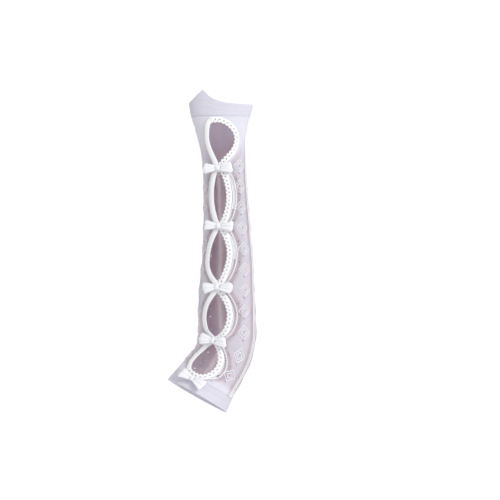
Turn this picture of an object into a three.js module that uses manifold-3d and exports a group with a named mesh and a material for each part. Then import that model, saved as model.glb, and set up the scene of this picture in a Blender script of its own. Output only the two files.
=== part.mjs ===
// An elbow-length fingerless arm warmer in lace knit, for the right arm: a plain hand cuff with a
// thumb hole, a lace sleeve with five edged eyes down its front, a plain welt and five ribbon bows.
// Millimetres. The origin is the elbow, +Z runs up the forearm to the hand, the front with the eyes
// faces -Y, and the upper arm turns down towards -X.
import * as THREE from "three";
import { mergeVertices } from "three/addons/utils/BufferGeometryUtils.js";
import Module from "manifold-3d";

const wasm = await Module();
wasm.setup();

// Lengths along the arm
const forearmLength = 285; // elbow to the hand edge
const upperArmLength = 72.7; // elbow to the upper hem
const cuffHeight = 14;
const weltHeight = 16;

// Sections: widths run from side to side, depths from front to back
const handWidth = 77;
const handDepth = 36;
const wristWidth = 52.4;
const wristDepth = 40;
const forearmWidth = 70.2;
const forearmDepth = 66;
const hemWidth = 80.4;
const hemDepth = 78;
const handLean = 7.5; // the hand stands this far to the thumb's side
const elbowLean = 3.6; // the upper arm stands this far to the outside of the bend

// The bend at the elbow
const elbowBend = 29.5; // degrees to the side
const upperArmTilt = 9; // degrees to the front
const bendRadius = 60;

// Knit walls
const wall = 1.2;
const clearance = 0.3;

// Hand edge and thumb hole
const peakRise = 18.4; // from the hand edge to the peak between thumb and finger
const peakInset = 14.5; // how far the thumb's side draws in up to the peak
const peakSweep = 12; // the edge falls from the peak over this width
const cornerLift = 2.5; // the hand edge's rise at the far side from the thumb
const thumbHoleWidth = 19;
const bridgeWidth = 3; // the strip between thumb and finger

// Eyes and their edging
const eyeWidth = 32;
const edgingWidth = 6;
const edgingSeat = 4; // how much of the edging lies on the lace
const edgingThickness = 1.5;
const picotPitch = 5;
const picotHeight = 0.9;
const endCurve = 0.012; // half the curvature of an edging's end, for each millimetre

// Bows
const bowWidth = 38;
const bowHeight = 12.5;
const loopThickness = 6;
const ribbonThickness = 0.8;
const knotWidth = 5.2;
const knotHeight = 7.4;
const knotDepth = 5.4;
const pleatDepth = 0.5;

// Fineness of the facets
const aroundSteps = 26;
const sleeveSteps = 26;
const cuffSteps = 8;
const weltSteps = 3;
const eyeSteps = 20;
const outlineStep = 6;

// Places up the arm are shares of forearmLength above the elbow and of upperArmLength below it. A section
// is made of shares of the hand's, forearm's and hem's size, and the wrist's makes up the rest.
const sections = [
  { at: -1.1, hand: 0, forearm: -0.2, hem: 1.2, handLean: 0, elbowLean: 0 },
  { at: -1, hand: 0, forearm: 0, hem: 1, handLean: 0, elbowLean: 0 },
  { at: -0.69, hand: 0, forearm: 0.57, hem: 0.41, handLean: 0, elbowLean: 0.36 },
  { at: -0.34, hand: 0, forearm: 0.94, hem: 0, handLean: 0, elbowLean: 1 },
  { at: -0.14, hand: 0, forearm: 0.97, hem: 0, handLean: 0, elbowLean: 0.61 },
  { at: 0, hand: 0, forearm: 1, hem: 0, handLean: 0, elbowLean: 0.28 },
  { at: 0.09, hand: 0, forearm: 0.98, hem: 0, handLean: 0, elbowLean: 0.08 },
  { at: 0.18, hand: 0, forearm: 0.9, hem: 0, handLean: 0, elbowLean: 0 },
  { at: 0.26, hand: 0, forearm: 0.75, hem: 0, handLean: -0.03, elbowLean: 0 },
  { at: 0.35, hand: 0, forearm: 0.56, hem: 0, handLean: -0.15, elbowLean: 0 },
  { at: 0.43, hand: 0, forearm: 0.37, hem: 0, handLean: -0.08, elbowLean: 0 },
  { at: 0.52, hand: 0, forearm: 0.21, hem: 0, handLean: 0, elbowLean: 0 },
  { at: 0.6, hand: 0, forearm: 0.11, hem: 0, handLean: 0.13, elbowLean: 0 },
  { at: 0.72, hand: 0, forearm: 0, hem: 0, handLean: 0.32, elbowLean: 0 },
  { at: 0.79, hand: 0.06, forearm: 0, hem: 0, handLean: 0.47, elbowLean: 0 },
  { at: 0.85, hand: 0.17, forearm: 0, hem: 0, handLean: 0.74, elbowLean: 0 },
  { at: 0.89, hand: 0.36, forearm: 0, hem: 0, handLean: 0.86, elbowLean: 0 },
  { at: 0.92, hand: 0.56, forearm: 0, hem: 0, handLean: 0.98, elbowLean: 0 },
  { at: 0.955, hand: 0.78, forearm: 0, hem: 0, handLean: 1, elbowLean: 0 },
  { at: 1, hand: 1, forearm: 0, hem: 0, handLean: 0.93, elbowLean: 0 },
  { at: 1.1, hand: 1.04, forearm: 0, hem: 0, handLean: 0.93, elbowLean: 0 },
];

// The line that the eyes and bows follow, in degrees round from the front, to the thumb's side when negative
const eyeLine = [
  { at: -1.1, turn: -23.5 },
  { at: -0.3, turn: -23.5 },
  { at: 0, turn: -22.5 },
  { at: 0.24, turn: -17 },
  { at: 0.49, turn: -17 },
  { at: 0.73, turn: -15 },
  { at: 0.93, turn: -4 },
  { at: 1.1, turn: -4 },
];

// An eye runs from low to high. Its two sides are shares of eyeWidth, fullest at a share of its height,
// and its ends go from a point, at 1 and above, to blunt, near 0.
const eyes = [
  {
    low: 0.7446, high: 0.9246, left: 0.38, right: 0.64,
    fullLeft: 0.66, fullRight: 0.6, lowEnd: 1.3, highEnd: 0.34,
  },
  {
    low: 0.501, high: 0.72, left: 0.21, right: 0.3,
    fullLeft: 0.5, fullRight: 0.52, lowEnd: 0.8, highEnd: 0.62,
  },
  {
    low: 0.2593, high: 0.4786, left: 0.44, right: 0.29,
    fullLeft: 0.38, fullRight: 0.55, lowEnd: 0.85, highEnd: 0.95,
  },
  {
    low: 0.0144, high: 0.2161, left: 0.44, right: 0.42,
    fullLeft: 0.5, fullRight: 0.5, lowEnd: 0.85, highEnd: 0.9,
  },
  {
    low: -0.688, high: -0.1, left: 0.41, right: 0.49,
    fullLeft: 0.3, fullRight: 0.42, lowEnd: 0.36, highEnd: 1.05,
  },
];
const bowPlaces = [0.732, 0.4898, 0.2377, -0.043, -0.78];

const laceTop = forearmLength - cuffHeight;
const laceBottom = weltHeight - upperArmLength;
const degree = Math.PI / 180;
const placeAt = (share) => share * (share < 0 ? upperArmLength : forearmLength);
const shareAt = (along) => along / (along < 0 ? upperArmLength : forearmLength);

// A smooth value between the rows of a table
function between(rows, at, column) {
  const last = rows.length - 1;
  let i = 0;
  while (i < last - 1 && rows[i + 1].at < at) i += 1;
  const slope = (a, b) => (rows[b][column] - rows[a][column]) / (rows[b].at - rows[a].at);
  const step = rows[i + 1].at - rows[i].at;
  const t = THREE.MathUtils.clamp((at - rows[i].at) / step, 0, 1);
  const startSlope = slope(Math.max(i - 1, 0), i + 1) * step;
  const endSlope = slope(i, Math.min(i + 2, last)) * step;
  const rise = rows[i + 1][column] - rows[i][column];
  const bow = t * (1 - t) * ((1 - t) * (startSlope - rise) + t * (rise - endSlope));
  return rows[i][column] + rise * t + bow;
}

// The arm's centre line: straight, an arc round the elbow and straight again
const down = new THREE.Vector3(0, 0, -1);
const upperArm = new THREE.Vector3(
  -Math.sin(elbowBend * degree) * Math.cos(upperArmTilt * degree),
  -Math.sin(upperArmTilt * degree),
  -Math.cos(elbowBend * degree) * Math.cos(upperArmTilt * degree),
);
const elbowTurn = down.angleTo(upperArm);
const elbowAxis = down.clone().cross(upperArm).normalize();
const bendReach = bendRadius * Math.tan(elbowTurn / 2);
const outOfBend = elbowAxis.clone().cross(down).negate();
const bendCentre = outOfBend.clone().multiplyScalar(-bendRadius);
bendCentre.z += bendReach;

function turnAt(along) {
  return elbowTurn * THREE.MathUtils.clamp((bendReach - along) / (2 * bendReach), 0, 1);
}

function centreAt(along) {
  if (along >= bendReach) return new THREE.Vector3(0, 0, along);
  if (along <= -bendReach) return upperArm.clone().multiplyScalar(-along);
  const arm = outOfBend.clone().multiplyScalar(bendRadius);
  return arm.applyAxisAngle(elbowAxis, turnAt(along)).add(bendCentre);
}

// Half the inner width and depth, and the shift to the side, of the arm warmer at a place along the arm
function sectionAt(along) {
  const at = shareAt(along);
  const hand = between(sections, at, "hand");
  const forearm = between(sections, at, "forearm");
  const hem = between(sections, at, "hem");
  const wrist = 1 - hand - forearm - hem;
  const width = hand * handWidth + forearm * forearmWidth + hem * hemWidth + wrist * wristWidth;
  const depth = hand * handDepth + forearm * forearmDepth + hem * hemDepth + wrist * wristDepth;
  const lean = between(sections, at, "elbowLean") * elbowLean - between(sections, at, "handLean") * handLean;
  const drawnIn = peakInset * Math.max((along - forearmLength) / peakRise, 0) ** 6;
  return {
    halfWidth: (width - drawnIn) / 2 - wall,
    halfDepth: depth / 2 - wall,
    shift: lean + drawnIn / 2,
  };
}

// A point of the arm warmer: radians round from the front, millimetres along, and height above the inner face
function onArm(angle, along, height) {
  const { halfWidth, halfDepth, shift } = sectionAt(along);
  const side = new THREE.Vector3(1, 0, 0).applyAxisAngle(elbowAxis, turnAt(along));
  const front = new THREE.Vector3(0, -1, 0).applyAxisAngle(elbowAxis, turnAt(along));
  return centreAt(along)
    .addScaledVector(side, shift + (halfWidth + height) * Math.sin(angle))
    .addScaledVector(front, (halfDepth + height) * Math.cos(angle));
}

// A point beside the eye line: millimetres across and along, and height above the knit's outer face
function onEyeLine(across, along, height) {
  const line = between(eyeLine, shareAt(along), "turn") * degree;
  const radius = sectionAt(along).halfWidth + wall + height;
  return onArm(line + across / radius, along, height + wall);
}

// Moves each vertex of a geometry to the place that a function gives for its coordinates
function wrap(geometry, place) {
  const points = geometry.getAttribute("position");
  const point = new THREE.Vector3();
  for (let i = 0; i < points.count; i += 1) {
    point.fromBufferAttribute(points, i);
    const { x, y, z } = place(point);
    points.setXYZ(i, x, y, z);
  }
  return geometry;
}

function toSolid(geometry) {
  geometry.deleteAttribute("normal");
  geometry.deleteAttribute("uv");
  const merged = mergeVertices(geometry);
  const vertProperties = merged.getAttribute("position").array;
  const triVerts = new Uint32Array(merged.index.array);
  return new wasm.Manifold(new wasm.Mesh({ numProp: 3, vertProperties, triVerts }));
}

function toGeometry(solid) {
  const { vertProperties, triVerts } = solid.getMesh();
  return new THREE.BufferGeometry()
    .setAttribute("position", new THREE.BufferAttribute(vertProperties, 3))
    .setIndex(new THREE.BufferAttribute(triVerts, 1));
}

// A tube from one place along the arm to another, between two heights above the knit's inner face
function makeTube(low, high, steps, inner = 0, outer = wall) {
  const turnedRadius = 100;
  const profile = [];
  for (let i = 0; i <= steps; i += 1)
    profile.push(new THREE.Vector2(turnedRadius + outer, low + ((high - low) * i) / steps));
  for (let i = steps; i >= 0; i -= 1)
    profile.push(new THREE.Vector2(turnedRadius + inner, low + ((high - low) * i) / steps));
  profile.push(profile[0].clone());
  const step = (2 * Math.PI) / aroundSteps;
  return wrap(new THREE.LatheGeometry(profile, aroundSteps), ({ x, y, z }) => {
    const angle = Math.round(Math.atan2(x, z) / step) * step;
    return onArm(angle, y, Math.hypot(x, z) - turnedRadius);
  });
}

// The closed outline of an eye, from its low end up the right side and down the left, in even steps
function eyeOutline(eye, spacing, stepsPerGroup = 1) {
  const low = placeAt(eye.low);
  const high = placeAt(eye.high);
  const side = (share, width, full) => {
    const end = share < full ? eye.lowEnd : eye.highEnd;
    const toEnd = share < full ? share / full : (1 - share) / (1 - full);
    return width * eyeWidth * Math.max(Math.sin((toEnd * Math.PI) / 2), 0) ** end;
  };
  const points = [];
  for (let i = 0; i < 2 * eyeSteps; i += 1) {
    const share = (1 - Math.cos((Math.PI * i) / eyeSteps)) / 2;
    const onRight = i < eyeSteps;
    const across = onRight ? side(share, eye.right, eye.fullRight) : -side(share, eye.left, eye.fullLeft);
    points.push(new THREE.Vector3(across, low + (high - low) * share, 0));
  }
  const curve = new THREE.CatmullRomCurve3(points, true);
  const count = Math.round(curve.getLength() / spacing) * stepsPerGroup;
  return curve
    .getSpacedPoints(count)
    .slice(0, -1)
    .map(({ x, y }) => new THREE.Vector2(x, y));
}

// An outline moved outwards by what a function gives for each of its points
function offsetOutline(points, distanceAt) {
  return points.map((point, i) => {
    const before = points[(i + points.length - 1) % points.length];
    const after = points[(i + 1) % points.length];
    const run = after.clone().sub(before).normalize();
    return new THREE.Vector2(point.x + run.y * distanceAt(i), point.y - run.x * distanceAt(i));
  });
}

// A solid that stands through the knit inside an outline beside the eye line
function makePrism(outline) {
  const reachIn = 6;
  const reachOut = 25;
  const shape = new THREE.Shape(outline);
  const geometry = new THREE.ExtrudeGeometry(shape, { depth: reachIn + reachOut, bevelEnabled: false });
  return toSolid(wrap(geometry, ({ x, y, z }) => onEyeLine(x, y, z - reachIn)));
}

// The picot edging round an eye lies on the lace. It ends in a shallow curve half way to the next eye's.
function makeEdging(index) {
  const eye = eyes[index];
  const above = index > 0 ? (placeAt(eyes[index - 1].low) + placeAt(eye.high)) / 2 : Infinity;
  const below = index < eyes.length - 1 ? (placeAt(eyes[index + 1].high) + placeAt(eye.low)) / 2 : -Infinity;
  const outer = offsetOutline(eyeOutline(eye, outlineStep), () => edgingWidth);
  for (const point of outer) {
    const drawBack = clearance / 2 + endCurve * point.x ** 2;
    point.y = THREE.MathUtils.clamp(point.y, below + drawBack, above - drawBack);
  }
  const pointsPerPicot = 2;
  const picots = eyeOutline(eye, picotPitch, pointsPerPicot);
  const picotAt = (i) => -Math.min(picotHeight, Math.abs(picots[i].x) * 0.3);
  const inner = offsetOutline(picots, (i) => (i % pointsPerPicot === 0 ? 0 : picotAt(i)));
  const seat = wall + clearance;
  const layer = toSolid(makeTube(laceBottom, laceTop, sleeveSteps, seat, seat + edgingThickness));
  return toGeometry(layer.intersect(makePrism(outer)).subtract(makePrism(inner)));
}

// A bow lies on the edging. Its loops are ribbon teardrops that spread and open away from the knot.
const bowSeat = clearance + edgingThickness + clearance;

function loopOutline(sideways, inset) {
  const steps = 10;
  const start = knotWidth / 2 + clearance + inset * 2;
  const end = bowWidth / 2 - inset;
  const points = [];
  for (let i = 0; i < steps; i += 1) {
    const round = (-sideways * 2 * Math.PI * i) / steps;
    const out = (1 - Math.cos(round)) / 2;
    const fullness = Math.abs(Math.sin(round / 2));
    const open = Math.sin(round) * fullness;
    const middle = loopThickness * (0.42 - 0.06 * out);
    const reach = open > 0 ? loopThickness * 0.7 : loopThickness * 0.4;
    const thin = Math.max(Math.abs(open) * reach - inset * fullness, 0) * Math.sign(open);
    points.push(new THREE.Vector2(sideways * (start + (end - start) * out), middle + thin));
  }
  return points;
}

function makeLoop(along, sideways) {
  const pleats = 3;
  const shape = new THREE.Shape(loopOutline(sideways, 0));
  shape.holes.push(new THREE.Path(loopOutline(sideways, ribbonThickness)));
  const geometry = new THREE.ExtrudeGeometry(shape, { depth: 2, steps: pleats, bevelEnabled: false });
  return wrap(geometry, ({ x, y, z }) => {
    const out = THREE.MathUtils.clamp(Math.abs(x) / (bowWidth / 2), 0, 1);
    const spread = THREE.MathUtils.lerp(knotHeight * 0.42, bowHeight / 2, out);
    const pleat = pleatDepth * Math.cos((z * pleats * Math.PI) / 2) * (1 - out) * (y / loopThickness);
    return onEyeLine(x, along + spread * (1 - z), bowSeat + y + pleat);
  });
}

function makeKnot(along) {
  const profile = [
    [0, -1],
    [0.72, -1],
    [0.93, -0.6],
    [1, 0],
    [0.93, 0.6],
    [0.72, 1],
    [0, 1],
  ].map(([out, up]) => new THREE.Vector2(out, up));
  return wrap(new THREE.LatheGeometry(profile, 10), ({ x, y, z }) =>
    onEyeLine(
      (y * knotWidth) / 2,
      along - (x * knotHeight) / 2,
      bowSeat + ((1 + z) * knotDepth) / 2,
    ),
  );
}

// The cuff is trimmed along the hand edge, then opened for the thumb
function makeCuff(low) {
  const top = forearmLength + 1.05 * peakRise;
  const blank = toSolid(makeTube(low, top, cuffSteps));
  const { halfWidth, shift } = sectionAt(forearmLength);
  const thumbSide = shift - halfWidth - wall;
  const peakX = thumbSide + peakInset + bridgeWidth;
  const edgeSteps = 14;
  const far = handWidth;
  const trim = new THREE.Shape();
  trim.moveTo(-far, top + peakRise);
  trim.lineTo(-far, forearmLength + peakRise);
  for (let i = 0; i <= edgeSteps; i += 1) {
    const across = (i / edgeSteps) ** 1.6 * handWidth;
    const fall = peakRise * Math.exp(-across / peakSweep);
    const lift = cornerLift * (across / handWidth) ** 4;
    trim.lineTo(peakX + across, forearmLength + fall + lift);
  }
  trim.lineTo(peakX + far, top + peakRise);
  const sideToSide = { depth: 2 * handDepth, bevelEnabled: false };
  const trimmer = wrap(new THREE.ExtrudeGeometry(trim, sideToSide), ({ x, y, z }) => ({
    x,
    y: handDepth - z,
    z: y,
  }));

  const holeLow = new THREE.Vector3(thumbSide, 0, forearmLength + cornerLift);
  const holeHigh = new THREE.Vector3(peakX, 0, forearmLength + peakRise);
  const slope = holeHigh.clone().sub(holeLow);
  const holeLength = slope.length() - bridgeWidth;
  slope.normalize();
  const outwards = new THREE.Vector3(-slope.z, 0, slope.x);
  const reach = 2 * holeLength;
  const hole = wrap(new THREE.CylinderGeometry(0.5, 0.5, reach, 20), ({ x, y, z }) =>
    holeLow
      .clone()
      .addScaledVector(slope, holeLength * (0.5 + x))
      .addScaledVector(outwards, y + reach / 4)
      .add(new THREE.Vector3(0, -z * thumbHoleWidth, 0)),
  );
  return toGeometry(blank.subtract(toSolid(trimmer)).subtract(toSolid(hole)));
}

// The lace is cut back to where the edgings seat on it
function makeLaceSleeve() {
  let lace = toSolid(makeTube(laceBottom, laceTop, sleeveSteps));
  for (const eye of eyes) {
    const cut = offsetOutline(eyeOutline(eye, outlineStep), () => edgingWidth - edgingSeat);
    lace = lace.subtract(makePrism(cut));
  }
  return toGeometry(lace);
}

const plainKnit = new THREE.MeshStandardMaterial({ color: 0xe0e0ee, roughness: 0.9, metalness: 0 });
const laceKnit = new THREE.MeshStandardMaterial({ color: 0xe4e1ec, roughness: 0.9, metalness: 0 });
const picotTrim = new THREE.MeshStandardMaterial({ color: 0xf4f6fc, roughness: 0.8, metalness: 0 });
const satin = new THREE.MeshStandardMaterial({ color: 0xfafaff, roughness: 0.35, metalness: 0 });

const armWarmer = new THREE.Group();
armWarmer.name = "arm_warmer";

function addPiece(parent, name, geometry, material) {
  const piece = new THREE.Mesh(geometry, material);
  piece.name = name;
  parent.add(piece);
}

addPiece(armWarmer, "hand_cuff", makeCuff(laceTop + clearance), plainKnit);
addPiece(armWarmer, "lace_sleeve", makeLaceSleeve(), laceKnit);
addPiece(armWarmer, "upper_welt", makeTube(-upperArmLength, laceBottom - clearance, weltSteps), plainKnit);
eyes.forEach((eye, i) => addPiece(armWarmer, `eye_edging_${i + 1}`, makeEdging(i), picotTrim));
bowPlaces.forEach((place, i) => {
  const bow = new THREE.Group();
  const along = placeAt(place);
  addPiece(bow, `bow_${i + 1}_left_loop`, makeLoop(along, -1), satin);
  addPiece(bow, `bow_${i + 1}_right_loop`, makeLoop(along, 1), satin);
  addPiece(bow, `bow_${i + 1}_knot`, makeKnot(along), satin);
  armWarmer.add(bow);
});

export default armWarmer;
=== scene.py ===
import math

import bmesh
import bpy
import numpy as np
from mathutils import Matrix, Vector, kdtree


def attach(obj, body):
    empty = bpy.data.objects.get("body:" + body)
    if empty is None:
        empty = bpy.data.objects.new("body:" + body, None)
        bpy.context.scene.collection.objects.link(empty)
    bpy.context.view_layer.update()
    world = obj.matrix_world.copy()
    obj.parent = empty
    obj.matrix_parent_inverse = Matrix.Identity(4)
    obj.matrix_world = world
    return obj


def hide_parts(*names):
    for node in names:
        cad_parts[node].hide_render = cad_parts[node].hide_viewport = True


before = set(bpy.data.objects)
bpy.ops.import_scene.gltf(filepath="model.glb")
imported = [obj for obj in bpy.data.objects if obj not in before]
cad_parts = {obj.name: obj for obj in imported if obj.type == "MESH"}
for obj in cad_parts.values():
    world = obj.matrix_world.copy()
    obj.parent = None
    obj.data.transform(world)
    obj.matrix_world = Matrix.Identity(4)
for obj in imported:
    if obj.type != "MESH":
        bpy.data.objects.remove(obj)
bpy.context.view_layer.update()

print("frame loaded")

mm = 0.001
degree = math.pi / 180

# The arm's sizes and bend, the same as in the frame's own model
arm = {
    "forearmLength": 285 * mm, "upperArmLength": 72.7 * mm, "cuffHeight": 14 * mm, "weltHeight": 16 * mm,
    "handWidth": 77 * mm, "handDepth": 36 * mm, "wristWidth": 52.4 * mm, "wristDepth": 40 * mm,
    "forearmWidth": 70.2 * mm, "forearmDepth": 66 * mm, "hemWidth": 80.4 * mm, "hemDepth": 78 * mm,
    "handLean": 7.5 * mm, "elbowLean": 3.6 * mm, "elbowBend": 29.5, "upperArmTilt": 9, "bendRadius": 60 * mm,
    "wall": 1.2 * mm, "peakRise": 18.4 * mm, "peakInset": 14.5 * mm, "eyeWidth": 32 * mm,
}
laceTop = arm["forearmLength"] - arm["cuffHeight"]
laceBottom = arm["weltHeight"] - arm["upperArmLength"]

# Each row: place (a share of the forearm, or of the upper arm when negative), then the hand's, forearm's
# and hem's share of the section (the wrist's is the rest) and the two leans' shares
sectionRows = (
    (-1.1, 0, -0.2, 1.2, 0, 0), (-1, 0, 0, 1, 0, 0), (-0.69, 0, 0.57, 0.41, 0, 0.36),
    (-0.34, 0, 0.94, 0, 0, 1), (-0.14, 0, 0.97, 0, 0, 0.61), (0, 0, 1, 0, 0, 0.28),
    (0.09, 0, 0.98, 0, 0, 0.08), (0.18, 0, 0.9, 0, 0, 0), (0.26, 0, 0.75, 0, -0.03, 0),
    (0.35, 0, 0.56, 0, -0.15, 0), (0.43, 0, 0.37, 0, -0.08, 0), (0.52, 0, 0.21, 0, 0, 0),
    (0.6, 0, 0.11, 0, 0.13, 0), (0.72, 0, 0, 0, 0.32, 0), (0.79, 0.06, 0, 0, 0.47, 0),
    (0.85, 0.17, 0, 0, 0.74, 0), (0.89, 0.36, 0, 0, 0.86, 0), (0.92, 0.56, 0, 0, 0.98, 0),
    (0.955, 0.78, 0, 0, 1, 0), (1, 1, 0, 0, 0.93, 0), (1.1, 1.04, 0, 0, 0.93, 0),
)
# The line that the eyes sit on: place, and its angle from the arm's front in degrees
eyeLineRows = (
    (-1.1, -23.5), (-0.3, -23.5), (0, -22.5), (0.24, -17), (0.49, -17), (0.73, -15), (0.93, -4), (1.1, -4),
)

# Each eye: low and high place, left and right side as shares of eyeWidth, where each side is fullest,
# and how its low end and the left and right of its high end close, from a point at 1 to blunt near 0
eyeRows = (
    (0.7446, 0.9246, 0.38, 0.64, 0.66, 0.6, 1.3, 0.16, 0.6),
    (0.501, 0.72, 0.21, 0.3, 0.5, 0.52, 0.8, 0.62, 0.62),
    (0.2593, 0.4786, 0.44, 0.29, 0.38, 0.55, 0.85, 0.95, 0.95),
    (0.0144, 0.2161, 0.44, 0.42, 0.5, 0.5, 0.85, 0.9, 0.9),
    (-0.715, -0.1, 0.41, 0.49, 0.3, 0.35, 0.36, 1.05, 1.05),
)
bowPlaces = (0.732, 0.4898, 0.2377, -0.043, -0.78)


def placeAt(share):
    return share * (arm["upperArmLength"] if share < 0 else arm["forearmLength"])


# One column of the rows at a place, on a smooth curve through them
def between(rows, at, column):
    def slope(a, b):
        return (rows[b][column] - rows[a][column]) / (rows[b][0] - rows[a][0])

    last = len(rows) - 1
    i = 0
    while i < last - 1 and rows[i + 1][0] < at:
        i += 1
    step = rows[i + 1][0] - rows[i][0]
    t = min(max((at - rows[i][0]) / step, 0), 1)
    rise = rows[i + 1][column] - rows[i][column]
    start = slope(max(i - 1, 0), i + 1) * step
    end = slope(i, min(i + 2, last)) * step
    return rows[i][column] + rise * t + t * (1 - t) * ((1 - t) * (start - rise) + t * (rise - end))


# The centre line runs straight down the forearm, round the elbow and on down the upper arm. It is sampled
# once, with the two directions across the arm, and every piece is laid on these samples.
alongs = np.linspace(-95 * mm, 325 * mm, 841)


def sampleArm():
    bend, tilt = arm["elbowBend"] * degree, arm["upperArmTilt"] * degree
    down = Vector((0, 0, -1))
    upperArm = Vector((-math.sin(bend) * math.cos(tilt), -math.sin(tilt), -math.cos(bend) * math.cos(tilt)))
    elbowTurn = down.angle(upperArm)
    elbowAxis = down.cross(upperArm).normalized()
    reach = arm["bendRadius"] * math.tan(elbowTurn / 2)
    outwards = -elbowAxis.cross(down)
    bendCentre = Vector((0, 0, reach)) - outwards * arm["bendRadius"]
    rows = []
    for along in alongs:
        at = along / (arm["upperArmLength"] if along < 0 else arm["forearmLength"])
        turned = Matrix.Rotation(elbowTurn * min(max((reach - along) / (2 * reach), 0), 1), 3, elbowAxis)
        if along >= reach:
            centre = Vector((0, 0, along))
        elif along <= -reach:
            centre = upperArm * -along
        else:
            centre = turned @ outwards * arm["bendRadius"] + bendCentre
        hand, forearm, hem = (between(sectionRows, at, column) for column in (1, 2, 3))
        wrist = 1 - hand - forearm - hem
        width, depth = (hand * arm["hand" + kind] + forearm * arm["forearm" + kind] + hem * arm["hem" + kind]
                        + wrist * arm["wrist" + kind] for kind in ("Width", "Depth"))
        drawnIn = arm["peakInset"] * max((along - arm["forearmLength"]) / arm["peakRise"], 0) ** 6
        handLean = between(sectionRows, at, 4) * arm["handLean"]
        elbowLean = between(sectionRows, at, 5) * arm["elbowLean"]
        rows.append((*centre, *(turned @ Vector((1, 0, 0))), *(turned @ Vector((0, -1, 0))),
                     (width - drawnIn) / 2 - arm["wall"], depth / 2 - arm["wall"],
                     elbowLean - handLean + drawnIn / 2, between(eyeLineRows, at, 1) * degree))
    return np.array(rows)


armRows = sampleArm()


def armAt(along):
    return [np.interp(along, alongs, armRows[:, column]) for column in range(13)]


# Points on the sleeve, for arrays of an angle from the front (positive towards the little finger), a place
# along the arm and a height above the inner face
def onArm(angle, along, height):
    angle, along, height = np.broadcast_arrays(angle, along, height)
    cx, cy, cz, sx, sy, sz, fx, fy, fz, halfWidth, halfDepth, shift, _ = armAt(along)
    across = shift + (halfWidth + height) * np.sin(angle)
    forward = (halfDepth + height) * np.cos(angle)
    return np.stack((cx + sx * across + fx * forward, cy + sy * across + fy * forward,
                     cz + sz * across + fz * forward), axis=-1)


def radiusAt(along):
    return armAt(along)[9] + arm["wall"]


def lineAt(along):
    return armAt(along)[12]


# The same, for a distance across from the eyes' line and a height above the sleeve's outer face
def onEyeLine(across, along, height):
    return onArm(lineAt(along) + across / (radiusAt(along) + height), along, height + arm["wall"])


# How far an eye reaches to one side of its line, for shares of its length
def eyeSide(row, share, right):
    width, full, highEnd = (row[3], row[5], row[8]) if right else (row[2], row[4], row[7])
    toEnd = np.where(share < full, share / full, (1 - share) / (1 - full))
    end = np.where(share < full, row[6], highEnd)
    return width * arm["eyeWidth"] * np.sin(np.clip(toEnd, 0, 1) * math.pi / 2) ** end


# An eye's outline as even steps, up its right side and down its left side, in (across, along), with its length
def eyeOutline(row, count=720):
    share = (1 - np.cos(np.linspace(0, math.pi, 400))) / 2
    low, high = placeAt(row[0]), placeAt(row[1])
    place = low + (high - low) * share
    right = np.stack((eyeSide(row, share, True), place), axis=1)
    left = np.stack((-eyeSide(row, share, False), place), axis=1)[::-1]
    loop = np.concatenate((right, left[1:-1]))
    closed = np.concatenate((loop, loop[:1]))
    run = np.concatenate(((0,), np.cumsum(np.linalg.norm(np.diff(closed, axis=0), axis=1))))
    even = np.linspace(0, run[-1], count, endpoint=False)
    return np.stack([np.interp(even, run, closed[:, k]) for k in (0, 1)], axis=1), run[-1]


print("arm shape ready")


# Wraps a node socket, so that sums of sockets and numbers read as plain arithmetic
class Wire:
    def __init__(self, tree, socket=None):
        self.tree, self.socket = tree, socket

    def node(self, kind, settings, inputs, output=0):
        made = self.tree.nodes.new(kind)
        for name, value in settings.items():
            setattr(made, name, value)
        for key, value in inputs.items():
            if isinstance(value, Wire):
                self.tree.links.new(value.socket, made.inputs[key])
            else:
                made.inputs[key].default_value = value
        return Wire(self.tree, made.outputs[output] if made.outputs else None)

    def math(self, operation, *values):
        return self.node("ShaderNodeMath", {"operation": operation}, dict(enumerate(values)))

    def __add__(self, other):
        return self.math("ADD", self, other)

    def __radd__(self, other):
        return self.math("ADD", other, self)

    def __sub__(self, other):
        return self.math("SUBTRACT", self, other)

    def __rsub__(self, other):
        return self.math("SUBTRACT", other, self)

    def __mul__(self, other):
        return self.math("MULTIPLY", self, other)

    def __rmul__(self, other):
        return self.math("MULTIPLY", other, self)

    def __truediv__(self, other):
        return self.math("DIVIDE", self, other)

    def __rtruediv__(self, other):
        return self.math("DIVIDE", other, self)


def mixColour(wire, share, first, second):
    return wire.node("ShaderNodeMix", {"data_type": "RGBA"}, {0: share, 6: first, 7: second}, 2)


def rgb(red, green, blue):
    linear = [((c / 255 + 0.055) / 1.055) ** 2.4 if c > 10 else c / 3294 for c in (red, green, blue)]
    return (*linear, 1)


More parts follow.
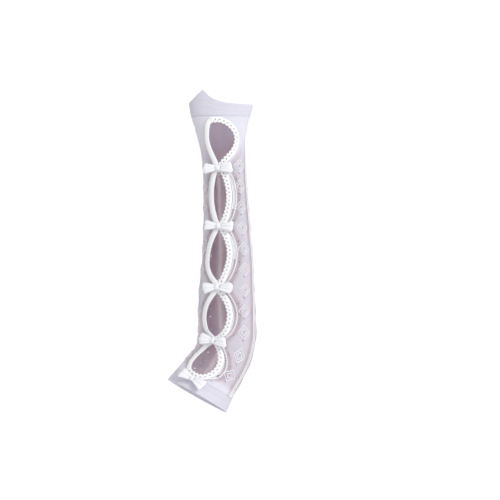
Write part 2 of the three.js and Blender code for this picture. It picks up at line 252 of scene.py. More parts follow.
# A fabric: stitches in the piece's own UV map, which is in millimetres, and two shades that a soft noise mixes
def makeFabric(name, look):
    material = bpy.data.materials.new(name)
    material.use_nodes = True
    tree = material.node_tree
    tree.nodes.clear()
    wire = Wire(tree)
    place = wire.node("ShaderNodeUVMap", {"uv_map": "cloth"}, {})
    noise = wire.node("ShaderNodeTexNoise", {}, {"Vector": place, "Scale": 1 / look["patch"], "Detail": 3})
    stretched = wire.node("ShaderNodeVectorMath", {"operation": "MULTIPLY"},
                          {0: place, 1: (1 / look["waleWidth"], 1 / look["courseHeight"], 0)})
    across = wire.node("ShaderNodeSeparateXYZ", {}, {0: stretched}, 0)
    along = wire.node("ShaderNodeSeparateXYZ", {}, {0: stretched}, 1)
    wale = wire.math("ABSOLUTE", wire.math("FRACT", across) - 0.5) * 2
    course = wire.math("ABSOLUTE", wire.math("FRACT", along + wale * look["slant"]) - 0.5) * 2
    stitch = wale * look["waleShare"] + course * (1 - look["waleShare"])
    if look["hole"]:
        row = wire.math("FLOOR", along)
        cellX = wire.math("FRACT", across + row * 0.5) - 0.5
        cellY = wire.math("FRACT", along) - 0.5
        stitch = wire.math("SQRT", cellX * cellX + cellY * cellY) * 1.4
    sheer = wire.node("ShaderNodeAttribute", {"attribute_name": "sheer"}, {}, "Fac")
    darkness = noise * look["mottle"] + stitch * look["stitchShade"] + sheer * look["sheerShade"]
    shade = mixColour(wire, darkness, look["light"], look["dark"])
    bump = wire.node("ShaderNodeBump", {}, {"Strength": look["bump"], "Distance": 0.2 * mm, "Height": stitch})
    inputs = {
        "Base Color": shade, "Normal": bump, "Roughness": noise * 0.1 + look["roughness"],
        "Sheen Weight": look["sheen"], "Sheen Roughness": 0.4, "Specular IOR Level": look["shine"],
        "Subsurface Weight": look["glow"], "Subsurface Scale": 2 * mm, "Subsurface Radius": (1, 0.6, 0.6),
    }
    if look["hole"]:
        holes = wire.math("LESS_THAN", stitch, sheer * look["sheerHole"] + look["hole"])
        inputs["Alpha"] = 1 - holes * look["open"]
    surface = wire.node("ShaderNodeBsdfPrincipled", {}, inputs)
    wire.node("ShaderNodeOutputMaterial", {}, {"Surface": surface})
    return material


# The looks of the four kinds of fabric, with stitches in millimetres
fabrics = {
    "plainKnit": {
        "light": rgb(220, 219, 231), "dark": rgb(198, 196, 211), "patch": 6, "mottle": 0.25,
        "waleWidth": 0.9, "courseHeight": 0.7, "slant": 0.5, "waleShare": 0.5, "stitchShade": 0.25, "bump": 0.5,
        "roughness": 0.7, "sheen": 0.25, "glow": 0.15, "shine": 0.25, "sheerShade": 0, "hole": 0,
    },
    "laceKnit": {
        "light": rgb(224, 221, 233), "dark": rgb(198, 183, 192), "patch": 9, "mottle": 0.3,
        "waleWidth": 1.1, "courseHeight": 0.9, "slant": 0.5, "waleShare": 0.5, "stitchShade": 0.4, "bump": 0.7,
        "roughness": 0.75, "sheen": 0.2, "glow": 0.7, "shine": 0.2, "sheerShade": 0.4, "hole": 0.24,
        "sheerHole": 0.26, "open": 0.9,
    },
    "picotTrim": {
        "light": rgb(255, 255, 255), "dark": rgb(236, 233, 242), "patch": 5, "mottle": 0.2,
        "waleWidth": 1.2, "courseHeight": 0.8, "slant": 0.8, "waleShare": 0.3, "stitchShade": 0.2, "bump": 0.6,
        "roughness": 0.6, "sheen": 0.25, "glow": 0.15, "shine": 0.3, "sheerShade": 0, "hole": 0,
    },
    "satin": {
        "light": rgb(247, 247, 252), "dark": rgb(230, 230, 241), "patch": 8, "mottle": 0.3,
        "waleWidth": 0.5, "courseHeight": 0.5, "slant": 0, "waleShare": 0.2, "stitchShade": 0.1, "bump": 0.15,
        "roughness": 0.36, "sheen": 0.15, "glow": 0.1, "shine": 0.5, "sheerShade": 0, "hole": 0,
    },
}
materials = {name: makeFabric(name, look) for name, look in fabrics.items()}
print("materials ready")


def addPiece(name, mesh, fabric, *nodes):
    piece = bpy.data.objects.new(name, mesh)
    bpy.context.scene.collection.objects.link(piece)
    mesh.materials.append(materials[fabric])
    mesh.polygons.foreach_set("use_smooth", [True] * len(mesh.polygons))
    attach(piece, "root")
    if nodes:
        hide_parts(*nodes)
    return piece


def addWall(piece, thickness, offset=0):
    wall = piece.modifiers.new("wall", "SOLIDIFY")
    wall.thickness, wall.offset = thickness, offset


# A sheet of cells. For arrays of the two shares of its sides, place gives the position, flat the UV in
# millimetres and sheer how open the net is. gone says which cells are holes, by their middle, and snap draws
# the holes' corners onto their outlines.
def makeSheet(name, columns, rows, place, flat, closed=True, gone=None, snap=None, sheer=None):
    bm = bmesh.new()
    uvLayer = bm.loops.layers.uv.new("cloth")
    sheerLayer = bm.verts.layers.float.new("sheer")
    bmesh.ops.create_grid(bm, x_segments=columns, y_segments=rows, size=0.5)
    shares = np.array([v.co[:2] for v in bm.verts]) + 0.5
    if gone is not None:
        middles = np.array([f.calc_center_median()[:2] for f in bm.faces]) + 0.5
        lost = [f for f, hole in zip(bm.faces, gone(*middles.T)) if hole]
        bmesh.ops.delete(bm, geom=lost, context="FACES")
        shares = np.array([v.co[:2] for v in bm.verts]) + 0.5
        rim = np.array([v.is_boundary for v in bm.verts]) & (np.abs(shares - 0.5).max(axis=1) < 0.4999)
        shares[rim] = snap(shares[rim])
    uv = flat(shares[:, 0], shares[:, 1])
    bm.verts.index_update()
    for face in bm.faces:
        for loop in face.loops:
            loop[uvLayer].uv = uv[loop.vert.index]
    veil = sheer(shares[:, 0], shares[:, 1]) if sheer else np.zeros(len(shares))
    for vert, point, share in zip(bm.verts, place(shares[:, 0], shares[:, 1]), veil):
        vert.co = point
        vert[sheerLayer] = share
    if closed:
        bmesh.ops.remove_doubles(bm, verts=bm.verts, dist=0.01 * mm)
    bmesh.ops.recalc_face_normals(bm, faces=bm.faces)
    mesh = bpy.data.meshes.new(name)
    bm.to_mesh(mesh)
    bm.free()
    return mesh


# Cords laid on the cloth: each is a row of points, and all are strands of one mesh
def makeCords(name, paths, radius, loops=False):
    curve = bpy.data.curves.new(name, "CURVE")
    curve.dimensions = "3D"
    curve.bevel_depth, curve.bevel_resolution = radius, 1
    curve.use_fill_caps = True
    for points in paths:
        spline = curve.splines.new("POLY")
        spline.points.add(len(points) - 1)
        spline.points.foreach_set("co", np.column_stack((points, np.ones(len(points)))).ravel())
        spline.use_cyclic_u = loops
        spline.use_smooth = True
    holder = bpy.data.objects.new(name, curve)
    bpy.context.scene.collection.objects.link(holder)
    made = bpy.data.meshes.new_from_object(holder.evaluated_get(bpy.context.evaluated_depsgraph_get()))
    bpy.data.objects.remove(holder)
    bpy.data.curves.remove(curve)
    made.uv_layers.new(name="cloth")
    spots = np.empty(len(made.vertices) * 3)
    made.vertices.foreach_get("co", spots)
    corners = np.empty(len(made.loops), dtype=int)
    made.loops.foreach_get("vertex_index", corners)
    x, y, z = spots.reshape(-1, 3)[corners].T / mm
    made.uv_layers["cloth"].data.foreach_set("uv", np.column_stack((x - y, z)).ravel())
    made.name = name
    return made


# The lace: lengths in metres, turns in degrees from the eyes' line, and tops and spans as places on the arm.
# The band beside the eyes is an open ladder over ladderSpans and elsewhere close-knit with dots.
lace = {
    "cellsAround": 188, "cellsAlong": 282, "thickness": 0.55 * mm, "underEdging": 1.5 * mm, "flatRadius": 33,
    "wrinkle": 0.2 * mm, "crease": 0.5 * mm, "creasePitch": 1.5 * mm, "ribRadius": 0.55 * mm, "ribTop": 0.76,
    "bandGap": 7.4 * mm, "bandWidth": 4.2 * mm, "bandBottom": 4.5 * mm,
    "ladderSpans": ((-0.6, -0.04), (0.02, 0.215), (0.26, 0.35), (0.5, 0.56)),
    "sideTurns": (-89, 89), "sideSpan": (-0.42, 0.17), "sideTop": 0.9,
    "barPitch": 2.7 * mm, "barSlant": 3.2 * mm, "barRadius": 0.36 * mm,
    "diamondTurns": (-123, -57, 57, 123), "diamondPitch": 24.6 * mm, "diamondTop": 0.82, "innerDiamond": 0.52,
    "diamondWidth": 16.5 * mm, "diamondHeight": 15 * mm, "diamondRadius": 0.46 * mm,
    "eyeletRadius": 0.95 * mm, "eyeletGap": 4 * mm, "eyeletTop": 0.7,
    "dotRadius": 0.6 * mm, "dotPitch": 3.7 * mm, "dotTop": 0.72, "dotClear": 2 * mm,
    "eyeSnap": 1.3 * mm, "eyeletSnap": 0.85 * mm,
    "netTop": 0.8, "netTurns": (80, 102, 145), "netSpread": 6, "netStrip": 3.2 * mm,
}
outlines = [eyeOutline(row) for row in eyeRows]


# How far the eyes' border reaches to each side of their line, smoothed so that it waves from eye to eye
def borderReach():
    reach = []
    for right in (False, True):
        side = np.full(len(alongs), lace["bandBottom"])
        for row in eyeRows:
            low, high = placeAt(row[0]), placeAt(row[1])
            share = (alongs - low) / (high - low)
            inEye = (share > 0) & (share < 1)
            width = np.where(inEye, eyeSide(row, np.clip(share, 0.001, 0.999), right), 0)
            side = np.maximum(side, width + lace["bandGap"] * inEye)
        kernel = np.exp(-0.5 * (np.arange(-24, 25) / 7) ** 2)
        reach.append(np.convolve(np.pad(side, 24, mode="edge"), kernel / kernel.sum(), mode="valid"))
    return reach


reachLeft, reachRight = borderReach()
print("lace laid out")


# The angle from the eyes' line, the short way round
def turnOf(angle, along):
    return (angle - lineAt(along) + math.pi) % (2 * math.pi) - math.pi


def reachAt(along, right):
    return np.interp(along, alongs, reachRight if right else reachLeft)


# The lace's first column of cells runs down the arm's far side
def laceAngle(u):
    return (2 * u - 1) * math.pi


def laceAlong(v):
    return laceBottom + v * (laceTop - laceBottom)


outlinePoints = np.concatenate([points for points, _ in outlines])
outlineFlow = np.concatenate([np.roll(points, -1, axis=0) - np.roll(points, 1, axis=0)
                              for points, _ in outlines])
outlineTree = kdtree.KDTree(len(outlinePoints))
for i, point in enumerate(outlinePoints):
    outlineTree.insert((*point, 0), i)
outlineTree.balance()


# Signed distances from the eyes' outlines, positive on the cloth, with the nearest outline point of each
def fromEyes(across, along):
    nearest = [outlineTree.find((x, z, 0))[1] for x, z in zip(across, along)]
    away = np.column_stack((across, along)) - outlinePoints[nearest]
    flow = outlineFlow[nearest]
    outside = flow[:, 1] * away[:, 0] - flow[:, 0] * away[:, 1]
    return np.sign(outside) * np.linalg.norm(away, axis=1), np.array(nearest)


def inLadder(along):
    return sum((along > placeAt(low)) & (along < placeAt(high)) for low, high in lace["ladderSpans"]) > 0


def inSideLadder(along):
    low, high = lace["sideSpan"]
    return (along > placeAt(low)) & (along < placeAt(high))


# The round eyelets: a wavy row beside each border, and one in and one below every diamond
def layEyelets():
    spots, radius = [], lace["eyeletRadius"]
    for along in np.arange(laceBottom + 6 * mm, placeAt(lace["eyeletTop"]), lace["diamondPitch"] / 2):
        right = float(reachAt(along, True)) + lace["bandWidth"]
        spots.append((right + lace["eyeletGap"], along, radius))
        spots.append((-float(reachAt(along, False)) - lace["eyeletGap"], along, radius))
    for turn in lace["diamondTurns"]:
        for along in diamondPlaces:
            across = turn * degree * float(radiusAt(along))
            spots.append((across, along - lace["diamondHeight"] * 0.58, radius))
            spots.append((across, along, radius * 0.7))
    return spots


# Two rows of small dots in the close-knit parts of the band, each at a share of its width and of the pitch
def layDots():
    spots, clear = [], lace["dotClear"]
    start = laceBottom + 6 * mm
    for row, shift in ((0.15, 0), (0.75, 0.5)):
        for along in np.arange(start, placeAt(lace["dotTop"]), lace["dotPitch"]) + shift * lace["dotPitch"]:
            if not inLadder(along - clear) and not inLadder(along + clear):
                across = float(reachAt(along, True)) + row * lace["bandWidth"]
                spots.append((across, along, lace["dotRadius"]))
    return spots


diamondPlaces = np.arange(laceBottom + 22 * mm, placeAt(lace["diamondTop"]), lace["diamondPitch"])
eyelets = np.array(layEyelets() + layDots())


# The open ladders: one beside the eyes' right border, and a straight one down each side of the arm. The share
# runs from 0 to 1 across a ladder and is -1 off it.
def ladderShare(across, along):
    right = (across - reachAt(along, True)) / lace["bandWidth"]
    share = np.where((right > 0) & (right < 1) & inLadder(along), right, -1.0)
    for turn in lace["sideTurns"]:
        straight = (across - turn * degree * radiusAt(along)) / lace["bandWidth"] + 0.5
        share = np.where((straight > 0) & (straight < 1) & inSideLadder(along), straight, share)
    return share


def laceFlat(u, v):
    along = laceAlong(v)
    return turnOf(laceAngle(u), along) * radiusAt(along), along


def laceGone(u, v):
    across, along = laceFlat(u, v)
    fromEye, _ = fromEyes(across, along)
    gone = (fromEye < lace["underEdging"]) | (ladderShare(across, along) > 0)
    for x, z, radius in eyelets:
        gone |= np.hypot(across - x, along - z) < radius
    return gone & (v > 0.004) & (v < 0.996)


def laceSnap(shares):
    across, along = laceFlat(shares[:, 0], shares[:, 1])
    fromEye, nearest = fromEyes(across, along)
    spots = np.column_stack((across, along))
    away = (spots - outlinePoints[nearest]) / fromEye[:, None]
    atEye = np.abs(fromEye - lace["underEdging"]) < lace["eyeSnap"]
    spots[atEye] = (outlinePoints[nearest] + away * lace["underEdging"])[atEye]
    for x, z, radius in eyelets:
        off = spots - (x, z)
        far = np.linalg.norm(off, axis=1)
        atEyelet = (far < radius + lace["eyeletSnap"]) & ~atEye
        spots[atEyelet] = (x, z) + off[atEyelet] / far[atEyelet, None] * radius
    angle = spots[:, 0] / radiusAt(spots[:, 1]) + lineAt(spots[:, 1])
    u = (angle / math.pi + 1) / 2
    v = (spots[:, 1] - laceBottom) / (laceTop - laceBottom)
    return np.column_stack((np.mod(u, 1), v))


# Soft ripples all over, as shares of the wrinkle
def ripple(angle, along):
    return (np.sin(angle * 3 + along * 90) * np.sin(along * 140 + angle * 5) * 0.6
            + np.sin(angle * 7 - along * 210) * 0.4)


# The lace lies rippled on the arm, with close creases in the bend of the elbow
def lacePlace(u, v):
    angle, along = laceAngle(u), laceAlong(v)
    fade = np.clip(np.minimum(v, 1 - v) / 0.03, 0, 1)
    inner = np.exp(-((angle + math.pi / 2) / 0.7) ** 2 - ((along - 4 * mm) / (26 * mm)) ** 2)
    crease = lace["crease"] * inner * np.cos(along / lace["creasePitch"] + 1.2 * np.sin(angle * 3))
    return onArm(angle, along, arm["wall"] / 2 + (lace["wrinkle"] * ripple(angle, along) + crease) * fade)


# How sheer the net is: most in the strips beside the diamonds (1), and close-knit in the eyes' border and near
# the hand and the hem (-1)
def laceSheer(u, v):
    across, along = laceFlat(u, v)
    turned = np.abs(across / radiusAt(along)) / degree
    reach = np.where(across > 0, reachAt(along, True) + lace["bandWidth"], reachAt(along, False))
    strip = np.exp(-((np.abs(across) - reach - lace["eyeletGap"]) / lace["netStrip"]) ** 2)
    beside = sum(np.exp(-((turned - turn) / lace["netSpread"]) ** 2) for turn in lace["netTurns"])
    border = np.clip((reach - np.abs(across)) / (0.8 * mm), 0, 1)
    top = placeAt(lace["netTop"])
    net = np.clip(strip + beside, 0, 1) * np.clip((top - along) / (30 * mm), 0, 1)
    plain = np.maximum((along - top) / (24 * mm), (laceBottom + 12 * mm - along) / (6 * mm))
    return net - np.maximum(border, np.clip(plain, 0, 1))


def laceUv(u, v):
    return np.column_stack((laceAngle(u) * lace["flatRadius"], laceAlong(v) / mm))


sleeveMesh = makeSheet("lace_net", lace["cellsAround"], lace["cellsAlong"], lacePlace, laceUv,
                       gone=laceGone, snap=laceSnap, sheer=laceSheer)
addWall(addPiece("lace_net", sleeveMesh, "laceKnit", "lace_sleeve"), lace["thickness"])
print("lace net made", len(sleeveMesh.polygons))


# The raised work: ribs along the bands, slanted bars across them and nested diamonds between them
def layRibs():
    paths = []
    span = np.arange(laceBottom + 1 * mm, laceTop - 1 * mm, 1.5 * mm)
    beside = span[span < placeAt(lace["ribTop"])]
    right = reachAt(beside, True)
    for across in (right, right + lace["bandWidth"], -reachAt(beside, False)):
        paths.append(onEyeLine(across, beside, 0.1 * mm))
    straight = span[span < placeAt(lace["sideTop"])]
    for turn in lace["sideTurns"]:
        for edge in (-0.5, 0.5):
            across = turn * degree * radiusAt(straight) + edge * lace["bandWidth"]
            paths.append(onEyeLine(across, straight, 0.1 * mm))
    return paths


def layBars():
    paths = []
    for along in np.arange(laceBottom + 2 * mm, placeAt(lace["sideTop"]) - 2 * mm, lace["barPitch"]):
        slant = np.array([0, lace["barSlant"]]) + along
        if inSideLadder(along) and inSideLadder(slant[1]):
            for turn in lace["sideTurns"]:
                across = turn * degree * radiusAt(slant) + np.array([-0.5, 0.5]) * lace["bandWidth"]
                paths.append(onEyeLine(across, slant, -0.2 * mm))
        if inLadder(along) and inLadder(slant[1]):
            across = reachAt(slant, True) + np.array([0, 1]) * lace["bandWidth"]
            paths.append(onEyeLine(across, slant, -0.2 * mm))
    return paths


def layDiamonds():
    paths = []
    corners = np.array([(0, -1), (1, 0), (0, 1), (-1, 0), (0, -1)], dtype=float)
    steps = np.linspace(0, 4, 28, endpoint=False)
    x, z = (np.interp(steps, range(5), corners[:, k]) for k in (0, 1))
    for turn in lace["diamondTurns"]:
        for place in diamondPlaces:
            for scale in (1, lace["innerDiamond"]):
                along = z * lace["diamondHeight"] / 2 * scale + place
                across = x * lace["diamondWidth"] / 2 * scale + turn * degree * radiusAt(along)
                paths.append(onEyeLine(across, along, 0.2 * mm))
    return paths


addPiece("lace_ribs", makeCords("lace_ribs", layRibs(), lace["ribRadius"]), "picotTrim")
addPiece("lace_bars", makeCords("lace_bars", layBars(), lace["barRadius"]), "picotTrim")
addPiece("lace_diamonds", makeCords("lace_diamonds", layDiamonds(), lace["diamondRadius"], True), "picotTrim")
print("raised work made")

# The picot edgings, in metres, with the eyelets' place as a share of the width
edging = {
    "width": 6 * mm, "cellsWide": 14, "cellsPerPicot": 11, "picotPitch": 4.6 * mm, "picotDepth": 2.2 * mm,
    "dome": 0.55 * mm, "thickness": 0.8 * mm, "lift": 0.5 * mm, "rib": 0.16 * mm,
    "eyeletAt": 0.5, "eyeletRadius": 0.72 * mm, "eyeletLength": 1.3, "eyeletSlant": 0.5,
}


def makeEdging(k):
    points, run = outlines[k]
    picots = round(run / edging["picotPitch"])
    flow = np.roll(points, -2, axis=0) - np.roll(points, 2, axis=0)
    flow /= np.linalg.norm(flow, axis=1)[:, None]
    outwards = np.column_stack((flow[:, 1], -flow[:, 0]))

    def atShare(values, u):
        return np.interp(u * len(points), np.arange(len(points) + 1), np.append(values, values[0]))

    # The picots stand out on the little finger's side and round the ends, and the other side is rolled in
    def picotShare(u):
        return np.clip(1.4 + 1.7 * atShare(flow[:, 1], u), 0.06, 1)

    def place(u, v):
        phase = u * picots * math.pi
        edge = edging["picotDepth"] * (np.abs(np.sin(phase)) ** 0.75 - 0.55) * picotShare(u)
        reach = -edge * (1 - v) ** 3 + v * edging["width"]
        dome = edging["dome"] * (4 * v * (1 - v)) ** 0.5
        rib = edging["rib"] * np.sin(phase * 2) * (1 - v) ** 2
        return onEyeLine(atShare(points[:, 0], u) + atShare(outwards[:, 0], u) * reach,
                         atShare(points[:, 1], u) + atShare(outwards[:, 1], u) * reach,
                         edging["lift"] + dome + rib)

    # How far a spot lies from the middle of the nearest eyelet: each is a slanted oval behind a picot
    def eyeletOff(u, v):
        offAcross = (v - edging["eyeletAt"]) * edging["width"] / edging["eyeletLength"]
        phase = (u * picots + offAcross / edging["picotPitch"] * edging["eyeletSlant"]) % 1
        return (phase - 0.5) * run / picots, offAcross

    def gone(u, v):
        return (np.hypot(*eyeletOff(u, v)) < edging["eyeletRadius"]) & (picotShare(u) > 0.5)

    def snap(shares):
        offAlong, offAcross = eyeletOff(*shares.T)
        grow = edging["eyeletRadius"] / np.hypot(offAlong, offAcross) - 1
        offAcross = offAcross * edging["eyeletLength"] / edging["width"]
        return shares + np.column_stack((offAlong / run, offAcross)) * grow[:, None]

    def flat(u, v):
        return np.column_stack((u * run, v * edging["width"])) / mm

    name = f"picot_edging_{k + 1}"
    columns = picots * edging["cellsPerPicot"]
    mesh = makeSheet(name, columns, edging["cellsWide"], place, flat, gone=gone, snap=snap)
    addWall(addPiece(name, mesh, "picotTrim", f"eye_edging_{k + 1}"), edging["thickness"])


for k in range(len(eyeRows)):
    makeEdging(k)
print("edgings made")

# The plain bands at the hand and the hem, in metres, with each cloth's flat size in millimetres
bands = {
    "cuffCells": 150, "cuffRows": 26, "cuffFlat": (220, 30),
    "weltCells": 150, "weltRows": 16, "weltFlat": (250, 16),
    "bridgeCells": 16, "bridgeRows": 4, "bridgeFlat": (14, 3), "thickness": 0.9 * mm, "rimRadius": 0.55 * mm,
    "hemLines": 0.25 * mm, "weltWave": 0.25 * mm, "peakSweep": 12 * mm, "cornerLift": 2.5 * mm,
    "thumbInset": 0.6 * mm, "bridgeWidth": 3 * mm, "bridgeSag": 0.4 * mm, "rimInset": 0.2 * mm,
}
thumbSide = float(armAt(arm["forearmLength"])[11] - radiusAt(arm["forearmLength"]))
peakX = thumbSide + arm["peakInset"] + bands["bridgeWidth"]


def flatSheet(width, height):
    return lambda u, v: np.column_stack((u * width, v * height))


# How high the slanted hand edge stands, for places across it
def rimHeight(x):
    across = np.maximum(x - peakX, 0)
    return (arm["forearmLength"] + arm["peakRise"] * np.exp(-across / bands["peakSweep"])
            + bands["cornerLift"] * (across / arm["handWidth"]) ** 4)


# The last value, going up from low, at which the test still holds
def lastWhere(low, high, test):
    for _ in range(30):
        middle = (low + high) / 2
        holds = test(middle)
        low, high = np.where(holds, middle, low), np.where(holds, high, middle)
    return low


# The rim at each angle is where the wall meets the slanted hand edge
def rimAlong(angle):
    low = np.full(np.shape(angle), arm["forearmLength"])
    return lastWhere(low, low + arm["peakRise"] + 1 * mm,
                     lambda along: rimHeight(onArm(angle, along, 0)[..., 0]) > along)


# The cuff's first column of cells runs down the little finger's side, so the thumb hole is in the middle
def cuffAngle(u):
    return (2 * u - 1.5) * math.pi


def cuffPlace(u, v):
    angle = cuffAngle(u)
    along = laceTop + (rimAlong(angle) - laceTop) * v
    hem = bands["hemLines"] * (np.exp(-((v - 0.32) / 0.05) ** 2) + np.exp(-((v - 0.62) / 0.04) ** 2))
    return onArm(angle, along, arm["wall"] / 2 - hem)


# The thumb hole is cut straight along the slope from the thumb's side up to the peak, where a bridge is left
thumbLow = np.array((thumbSide, arm["forearmLength"] + bands["cornerLift"]))
thumbHigh = np.array((peakX, arm["forearmLength"] + arm["peakRise"]))
thumbSlope = (thumbHigh - thumbLow) / np.linalg.norm(thumbHigh - thumbLow)


# How far points lie beyond the cut, which is drawn a little inside the slope
def beyondCut(angle, along):
    off = onArm(angle, along, arm["wall"] / 2)[..., [0, 2]] - thumbLow
    return off @ (-thumbSlope[1], thumbSlope[0]) + bands["thumbInset"]


# The angle at which the wall meets the cut, on the front of the arm, for places up it
def cutAngle(along):
    return lastWhere(np.full(len(along), -math.pi / 2), np.full(len(along), -math.pi / 6),
                     lambda angle: beyondCut(angle, along) > 0)


# The tip, where the cut meets the hand edge
tipAngle = float(lastWhere(np.array([-math.pi / 2]), np.array([-math.pi / 6]),
                           lambda angle: beyondCut(angle, rimAlong(angle)) > 0)[0])
tipAlong = float(rimAlong(np.array([tipAngle]))[0])


def cuffGone(u, v):
    angle = cuffAngle(u)
    beyond = beyondCut(angle, laceTop + (rimAlong(angle) - laceTop) * v) > 0
    return beyond & (np.abs(u - 0.5) < 0.2)  # only on the thumb's side


# Draws the hole's corners onto the cut by the shortest way over the wall
def cuffSnap(shares):
    angle = cuffAngle(shares[:, 0])
    along = laceTop + (rimAlong(angle) - laceTop) * shares[:, 1]
    step = 0.05 * mm
    for _ in range(3):
        radius = radiusAt(along)
        beyond = beyondCut(angle, along)
        slopeRound = (beyondCut(angle + step / radius, along) - beyond) / step
        slopeUp = (beyondCut(angle, along + step) - beyond) / step
        move = np.clip(beyond / (slopeRound ** 2 + slopeUp ** 2), -1.5 * mm, 1.5 * mm)
        angle = angle - move * slopeRound / radius
        along = along - move * slopeUp
    v = (along - laceTop) / (rimAlong(angle) - laceTop)
    return np.column_stack(((angle / math.pi + 1.5) / 2, v))


cuffMesh = makeSheet("cuff_knit", bands["cuffCells"], bands["cuffRows"], cuffPlace,
                     flatSheet(*bands["cuffFlat"]), gone=cuffGone, snap=cuffSnap)
addWall(addPiece("cuff_knit", cuffMesh, "plainKnit", "hand_cuff"), bands["thickness"])


def weltPlace(u, v):
    angle = (2 * u - 1) * math.pi
    along = -arm["upperArmLength"] + v * arm["weltHeight"]
    line = bands["hemLines"] * np.exp(-((v - 0.55) / 0.06) ** 2)
    return onArm(angle, along, arm["wall"] / 2 - line + bands["weltWave"] * np.sin(angle * 4) * (1 - v))


weltMesh = makeSheet("welt_knit", bands["weltCells"], bands["weltRows"], weltPlace,
                     flatSheet(*bands["weltFlat"]))
addWall(addPiece("welt_knit", weltMesh, "plainKnit", "upper_welt"), bands["thickness"])


# Both edges of the cut, front and back, for places up the arm
def cutEdges(along):
    angle = cutAngle(along)
    return onArm(angle, along, arm["wall"] / 2), onArm(-math.pi - angle, along, arm["wall"] / 2)


# The bridge spans the cut at the peak, between the thumb and the palm
def bridgePlace(u, v):
    front, back = cutEdges(rimTop - thumbSlope[1] * bands["bridgeWidth"] * v)
    sag = bands["bridgeSag"] * np.sin(math.pi * u)
    return front + (back - front) * u[:, None] - np.column_stack((0 * u, 0 * u, sag))


rimTop = tipAlong - bands["rimInset"]
bridgeMesh = makeSheet("cuff_bridge", bands["bridgeCells"], bands["bridgeRows"], bridgePlace,
                       flatSheet(*bands["bridgeFlat"]), closed=False)
addWall(addPiece("cuff_bridge", bridgeMesh, "plainKnit"), bands["thickness"])

# Thin rolled rims along the hand edge, the thumb hole and the hem. The first two meet at the bridge's ends.
handAround = np.linspace(tipAngle, math.pi - tipAngle, 170)
handRim = onArm(handAround, rimAlong(handAround) - 0.3 * mm, arm["wall"] / 2)
frontEdge, backEdge = cutEdges(np.linspace(rimTop, thumbLow[1], 44))
thumbRim = np.concatenate((frontEdge, backEdge[-2::-1]))
hemAround = np.linspace(-math.pi, math.pi, 180, endpoint=False)
hemRim = onArm(hemAround, -arm["upperArmLength"] + 0.5 * mm,
               arm["wall"] / 2 + bands["weltWave"] * np.sin(hemAround * 4))
for name, rim, loop in (("hand_rim", handRim, False), ("thumb_rim", thumbRim, False),
                        ("welt_rim", hemRim, True)):
    addPiece(name, makeCords(name, [rim], bands["rimRadius"], loop), "picotTrim")
print("bands made")

# The ribbon bows, in metres, with each ribbon's flat size in millimetres
bow = {
    "width": 35.5 * mm, "height": 13 * mm, "loft": 5.2 * mm, "ribbon": 0.45 * mm, "seat": 1.7 * mm,
    "foldDepth": 0.9 * mm, "folds": 2.6, "softness": 0.5 * mm, "cellsRound": 56, "cellsAcross": 30,
    "loopFlat": (40, 12), "knotWidth": 5.4 * mm, "knotHeight": 7 * mm, "knotDepth": 5.4 * mm,
    "knotCellsRound": 36, "knotCellsAcross": 14, "knotFlat": (24, 6), "tuck": 0.4 * mm,
}

# Each bow's pose: its turn in degrees, then the left and the right loop's length and height as shares of the
# sizes above and its droop in degrees, then how far the bow has slid, across and up, in millimetres
bowPoses = (
    (0, 1, 0.95, 3, 0.98, 1, -2, 0, 0),
    (2, 1, 0.92, -6, 1, 0.95, 4, 0, 0),
    (-2, 1, 1.02, 8, 1.02, 1, 3, 0, 0),
    (3, 0.98, 1.08, 2, 0.95, 0.92, -4, 0, 0),
    (2, 0.95, 1.05, -2, 0.98, 1, 10, 2.5, -3.2),
)


# A bow's own frame on the cloth: its seat, and the directions across it, up it and out from it
def bowFrame(k, turn):
    across, along = bowPoses[k][7] * mm, placeAt(bowPlaces[k]) + bowPoses[k][8] * mm
    seat = onEyeLine(across, along, bow["seat"])
    side = onEyeLine(across + 1 * mm, along, bow["seat"]) - onEyeLine(across - 1 * mm, along, bow["seat"])
    up = onEyeLine(across, along + 1 * mm, bow["seat"]) - onEyeLine(across, along - 1 * mm, bow["seat"])
    side, up = side / np.linalg.norm(side), up / np.linalg.norm(up)
    out = np.cross(side, up)
    out /= np.linalg.norm(out)
    return seat, math.cos(turn) * side + math.sin(turn) * up, math.cos(turn) * up - math.sin(turn) * side, out


# A loop is a flat tube of ribbon, folded along its length and drawn together at the knot
def makeLoop(k, right, pose):
    sign = 1 if right else -1
    length, height, droop = pose[4:7] if right else pose[1:4]
    seat, side, up, out = bowFrame(k, (pose[0] - sign * droop) * degree)
    start = bow["knotWidth"] / 2 - bow["tuck"]
    reach = bow["width"] / 2 * length - start
    seed = k * 2 + right

    def place(u, v):
        turned = u * 2 * math.pi
        outward = (1 - np.cos(turned)) / 2
        fan = (0.4 + 0.6 * outward ** 0.75) * (1 - 0.07 * np.sin(turned))
        across = (v - 0.5) * bow["height"] * height * fan
        bulge = np.sin(turned) * (0.45 + 0.55 * outward ** 1.3)
        edge = 1 - 0.22 * (2 * v - 1) ** 4
        ridge = 1 - np.abs(2 * ((v * bow["folds"] + 0.19 * seed + 0.3 * (bulge > 0)) % 1) - 1) * 2
        fold = ridge * bow["foldDepth"] * (0.9 - 0.75 * outward) * np.sqrt(0.12 + outward)
        soft = bow["softness"] * np.sin(v * 5 + seed * 2.1) * np.sin(turned + seed)
        level = bow["loft"] / 2 + bulge * bow["loft"] / 2 * edge + fold + soft
        corner = 0.17 * np.abs(2 * v - 1) ** 4
        run = start + reach * outward * (1 - corner + 0.05 * np.sin(v * 5 + seed))
        return seat + side * (sign * run)[:, None] + up * across[:, None] + out * level[:, None]

    name = f"bow_{k + 1}_{'right' if right else 'left'}"
    mesh = makeSheet(name, bow["cellsRound"], bow["cellsAcross"], place, flatSheet(*bow["loopFlat"]))
    addWall(addPiece(name, mesh, "satin", name + "_loop"), bow["ribbon"])


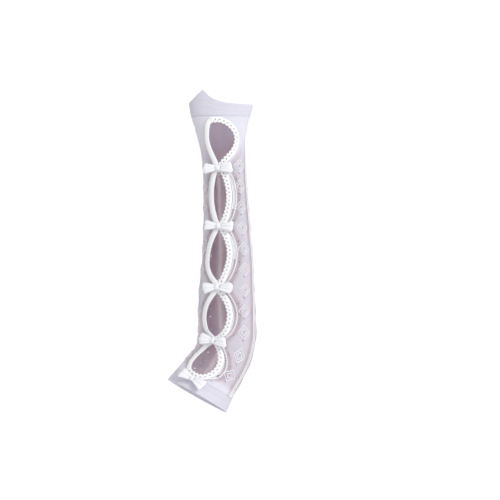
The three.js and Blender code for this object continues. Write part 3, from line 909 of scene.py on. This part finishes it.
# The wrap round the middle of a bow
def makeKnot(k, pose):
    seat, side, up, out = bowFrame(k, pose[0] * degree)

    def place(u, v):
        turned = u * 2 * math.pi
        swell = 1 - 0.28 * (2 * v - 1) ** 2
        pleat = 1 + 0.05 * np.cos((v * 3 + 0.2 * k) * 2 * math.pi)
        across = (v - 0.5) * bow["knotWidth"] * (1 + 0.05 * np.sin(turned + k))
        upwards = bow["knotHeight"] / 2 * np.cos(turned) * swell * pleat
        outwards = bow["loft"] / 2 + bow["knotDepth"] / 2 * np.sin(turned) * swell * pleat
        return seat + side * across[:, None] + up * upwards[:, None] + out * outwards[:, None]

    name = f"bow_{k + 1}_wrap"
    mesh = makeSheet(name, bow["knotCellsRound"], bow["knotCellsAcross"], place, flatSheet(*bow["knotFlat"]))
    addWall(addPiece(name, mesh, "satin", f"bow_{k + 1}_knot"), bow["ribbon"], -1)


for k, pose in enumerate(bowPoses):
    makeLoop(k, False, pose)
    makeLoop(k, True, pose)
    makeKnot(k, pose)
print("bows made")

# The camera, the lights and the floor, in metres and watts
studio = {
    "camera": (0.0278, -1.667, 0.1114), "lens": 100, "aim": (0, 0, 0.12),
    "key": (1.3, -1.3, 0.9), "keySize": 0.6, "keyPower": 21,
    "fill": (-1.4, -1.4, 0.3), "fillSize": 1.2, "fillPower": 4,
    "world": 0.66, "backdrop": 1.05, "floorAt": -0.32, "floorRadius": 0.6, "floorShade": (0.95, 0.95, 0.95, 1),
}
camera = bpy.data.objects.new("camera", bpy.data.cameras.new("camera"))
camera.location = studio["camera"]
camera.rotation_euler = (math.pi / 2, 0, 0)
camera.data.lens = studio["lens"]
camera.data.sensor_width = 36
camera.data.clip_end = 30
bpy.context.scene.collection.objects.link(camera)
bpy.context.scene.camera = camera


def addLight(name):
    light = bpy.data.lights.new(name, "AREA")
    light.shape, light.size, light.energy = "DISK", studio[name + "Size"], studio[name + "Power"]
    holder = bpy.data.objects.new(name, light)
    holder.location = studio[name]
    holder.rotation_euler = (Vector(studio["aim"]) - holder.location).to_track_quat("-Z", "Y").to_euler()
    bpy.context.scene.collection.objects.link(holder)


addLight("key")
addLight("fill")

bm = bmesh.new()
bmesh.ops.create_circle(bm, cap_ends=True, radius=studio["floorRadius"], segments=64)
bmesh.ops.translate(bm, verts=bm.verts, vec=(0, 0, studio["floorAt"]))
floorMesh = bpy.data.meshes.new("floor")
bm.to_mesh(floorMesh)
bm.free()
floor = bpy.data.objects.new("floor", floorMesh)
bpy.context.scene.collection.objects.link(floor)
floorMaterial = bpy.data.materials.new("floor")
floorMaterial.use_nodes = True
floorMaterial.node_tree.nodes.clear()
pale = Wire(floorMaterial.node_tree)
matt = pale.node("ShaderNodeBsdfPrincipled", {}, {"Base Color": studio["floorShade"], "Roughness": 0.9})
pale.node("ShaderNodeOutputMaterial", {}, {"Surface": matt})
floorMesh.materials.append(floorMaterial)

# The world lights the part softly, and the camera sees it as a white backdrop
world = bpy.data.worlds.new("studio")
bpy.context.scene.world = world
world.use_nodes = True
world.node_tree.nodes.clear()
sky = Wire(world.node_tree)
seen = sky.node("ShaderNodeLightPath", {}, {})
strength = studio["world"] + seen * (studio["backdrop"] - studio["world"])
glow = sky.node("ShaderNodeBackground", {}, {"Color": (1, 1, 1, 1), "Strength": strength})
sky.node("ShaderNodeOutputWorld", {}, {"Surface": glow})
bpy.context.scene.view_settings.view_transform = "Standard"
print("studio ready")
